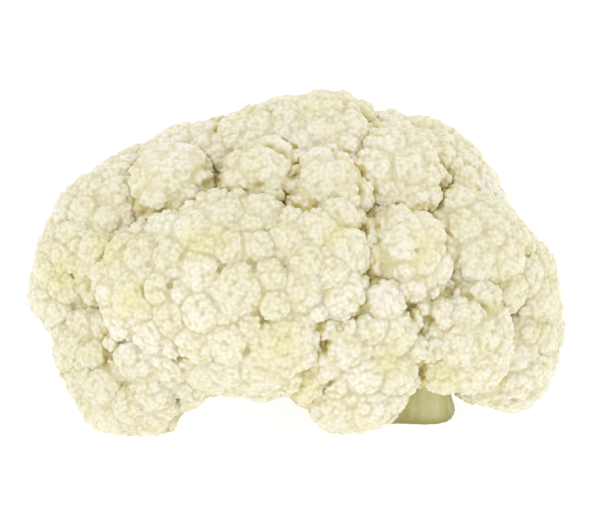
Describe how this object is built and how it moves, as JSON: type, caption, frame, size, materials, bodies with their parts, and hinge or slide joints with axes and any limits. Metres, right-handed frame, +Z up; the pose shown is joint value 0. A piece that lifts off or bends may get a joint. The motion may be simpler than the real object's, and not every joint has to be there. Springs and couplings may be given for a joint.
{
  "type": "cauliflower",
  "caption": "Trimmed head of white cauliflower: a broad dome of fused curd lobes and florets on a short fluted cut stalk, resting on its low lobes.",
  "frame": {"origin": "middle of the bottom of the head's box, on the surface that it rests on", "axes": "+Z up, the broad face with the big front lobe towards -Y, the head's width along X with the stalk on the +X side"},
  "size_m": [0.1768, 0.1454, 0.1073],
  "materials": {
    "curd": "matte creamy white plant tissue, slightly waxy, ochre in the creases",
    "stalk": "satin pale green plant stem with pale fluted ribs"
  },
  "bodies": {
    "root": {"curd": "curd", "stalk": "stalk"}
  },
  "joints": []
}
